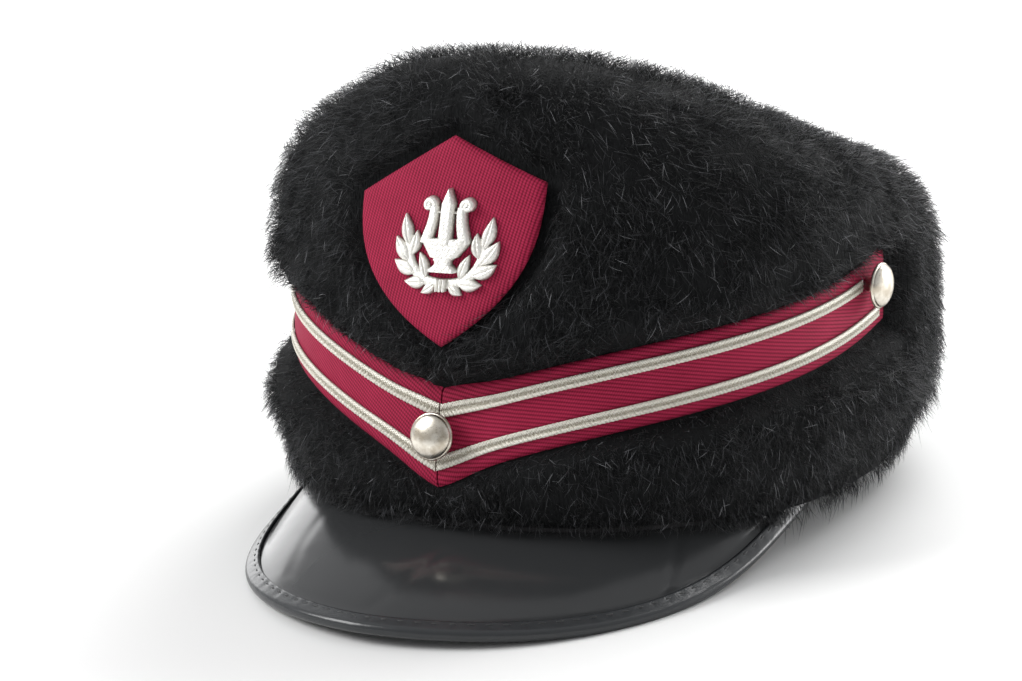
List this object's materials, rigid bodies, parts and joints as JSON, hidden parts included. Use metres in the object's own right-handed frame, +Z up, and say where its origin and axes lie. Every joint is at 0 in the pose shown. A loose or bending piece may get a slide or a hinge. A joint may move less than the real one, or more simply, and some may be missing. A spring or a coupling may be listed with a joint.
{
  "type": "marching band hat",
  "caption": "Fur-covered marching band hat: hollow crown for a head, V-shaped braided band with domed buttons, lyre badge on a cloth shield, and a glossy bound visor that shades the eyes.",
  "frame": {"origin": "middle of the hat's outline, on the surface it rests on", "axes": "+Z up, -Y the way the wearer looks, +X the wearer's left"},
  "size_m": [0.2065, 0.2762, 0.1502],
  "materials": {
    "wall_cloth": "dull black woven cloth",
    "black_fur": "deep black pile with grey glinting fibres",
    "crimson_twill": "fine-ribbed crimson twill",
    "silver_braid": "flat silver-grey braid",
    "button_nickel": "worn polished nickel",
    "badge_metal": "pale cast white metal, stippled",
    "patent": "glossy black patent sheet",
    "edge_binding": "black folded binding, sewn"
  },
  "bodies": {
    "root": {"crown_wall": "wall_cloth", "crown_fur": "black_fur", "visor": "patent", "visor_binding": "edge_binding", "shield": "crimson_twill", "badge": "badge_metal", "band_left": "crimson_twill", "band_right": "crimson_twill", "cord_upper_left": "silver_braid", "cord_upper_right": "silver_braid", "cord_lower_left": "silver_braid", "cord_lower_right": "silver_braid", "button_front": "button_nickel", "button_left": "button_nickel", "button_right": "button_nickel"}
  },
  "joints": []
}
